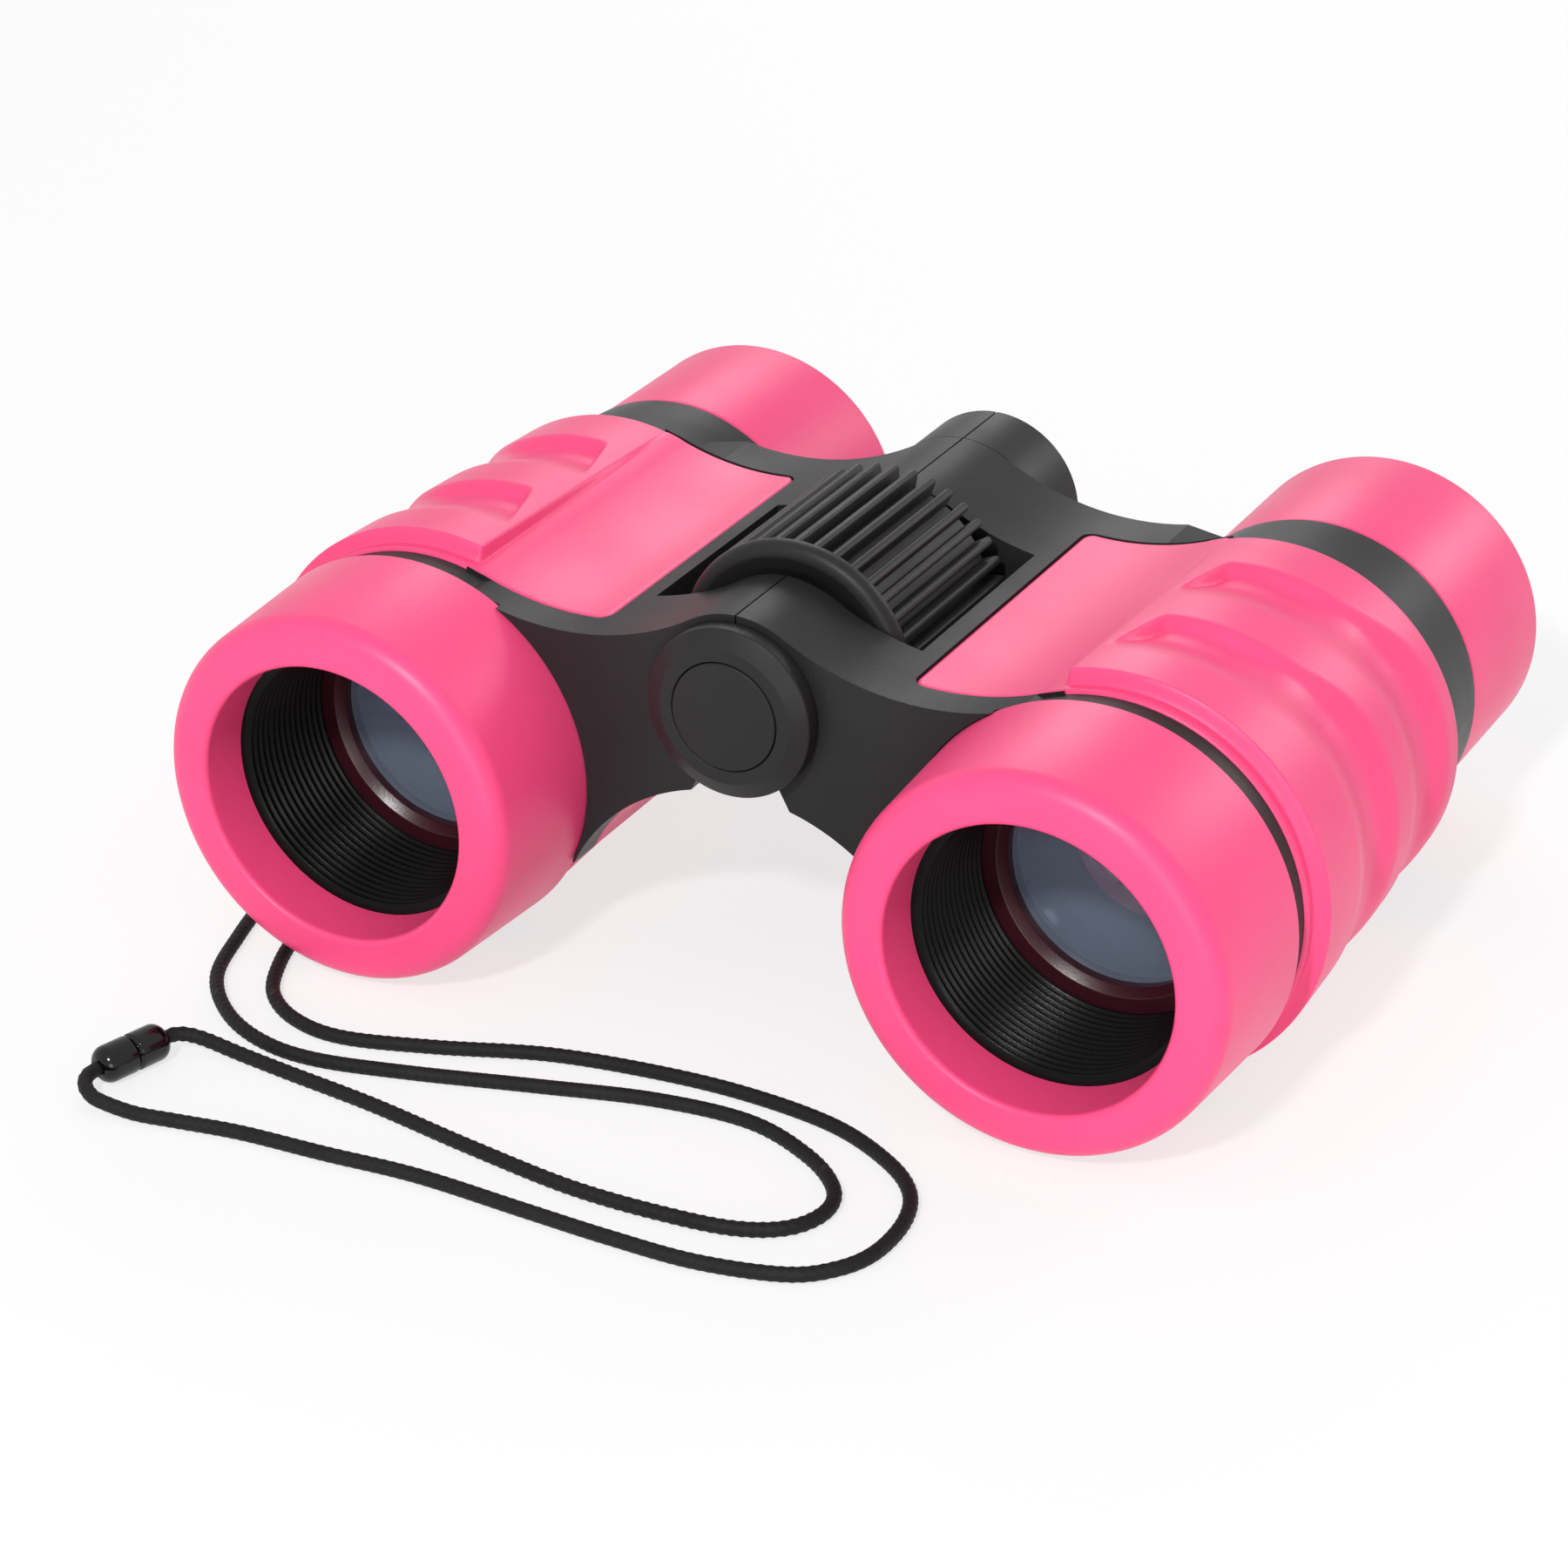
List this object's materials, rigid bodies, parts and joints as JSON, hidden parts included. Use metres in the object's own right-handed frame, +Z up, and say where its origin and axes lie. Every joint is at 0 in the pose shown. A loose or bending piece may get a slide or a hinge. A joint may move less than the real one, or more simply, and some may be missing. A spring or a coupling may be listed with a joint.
{
  "type": "toy binoculars",
  "caption": "Toy binoculars with tapered barrels on a folding centre hinge, a ribbed focus wheel that slides the eyecups, rubber grips and a breakaway cord.",
  "frame": {"origin": "on the table under the middle of the opened binoculars, without the cord", "axes": "+X across, towards the right barrel; +Y along the barrels, from the objectives to the eyecups; +Z up"},
  "size_m": [0.1257, 0.1281, 0.0474],
  "materials": {
    "pink_rubber": "satin",
    "charcoal_plastic": "satin",
    "black_plastic": "matt",
    "maroon_plastic": "satin",
    "lens": "polished",
    "steel": "satin",
    "black_cord": "braided",
    "black_bead": "gloss"
  },
  "bodies": {
    "left_half": {"left_chassis": "charcoal_plastic", "left_grip_sleeve": "pink_rubber", "left_objective_cup": "pink_rubber", "left_baffle_tube": "black_plastic", "left_lens_ring": "maroon_plastic", "left_objective_lens": "lens", "left_rear_cover": "charcoal_plastic", "left_bottom_cover": "charcoal_plastic", "hinge_pin": "steel", "hinge_screw": "steel", "hinge_front_cap": "charcoal_plastic", "front_cap_disc": "charcoal_plastic", "hinge_rear_cap": "charcoal_plastic", "strap_lug": "charcoal_plastic", "cord_hitch": "black_cord", "cord_strand_a": "black_cord", "cord_strand_b": "black_cord", "bead_half_a": "black_bead", "bead_half_b": "black_bead"},
    "right_half": {"right_chassis": "charcoal_plastic", "right_grip_sleeve": "pink_rubber", "right_objective_cup": "pink_rubber", "right_baffle_tube": "black_plastic", "right_lens_ring": "maroon_plastic", "right_objective_lens": "lens", "right_rear_cover": "charcoal_plastic", "right_bottom_cover": "charcoal_plastic"},
    "wheel": {"focus_wheel": "charcoal_plastic"},
    "left_eyepiece": {"left_eyecup": "pink_rubber", "left_ocular_tube": "black_plastic", "left_ocular_lens": "lens", "left_ocular_ring": "black_plastic", "left_focus_arm": "black_plastic", "focus_carriage": "black_plastic"},
    "right_eyepiece": {"right_eyecup": "pink_rubber", "right_ocular_tube": "black_plastic", "right_ocular_lens": "lens", "right_ocular_ring": "black_plastic", "right_focus_arm": "black_plastic"}
  },
  "joints": [
    {"name": "fold_hinge", "type": "hinge", "parent": "left_half", "child": "right_half", "pos_m": [0, 0, 0.0343], "axis": [0, 1, 0], "range_deg": [0, 54]},
    {"name": "focus_turn", "type": "hinge", "parent": "left_half", "child": "wheel", "pos_m": [0, 0, 0.0343], "axis": [0, 1, 0], "range_deg": [-280, 10]},
    {"name": "left_focus", "type": "slide", "parent": "left_half", "child": "left_eyepiece", "axis": [0, 1, 0], "range_m": [0, 0.006]},
    {"name": "right_focus", "type": "slide", "parent": "right_half", "child": "right_eyepiece", "axis": [0, 1, 0], "range_m": [-0.0002, 0.0064]}
  ],
  "couplings": [
    {"joint": "focus_turn", "follows": "left_focus", "rad_per_m": -785.4},
    {"joint": "right_focus", "follows": "left_focus", "ratio": 1}
  ]
}
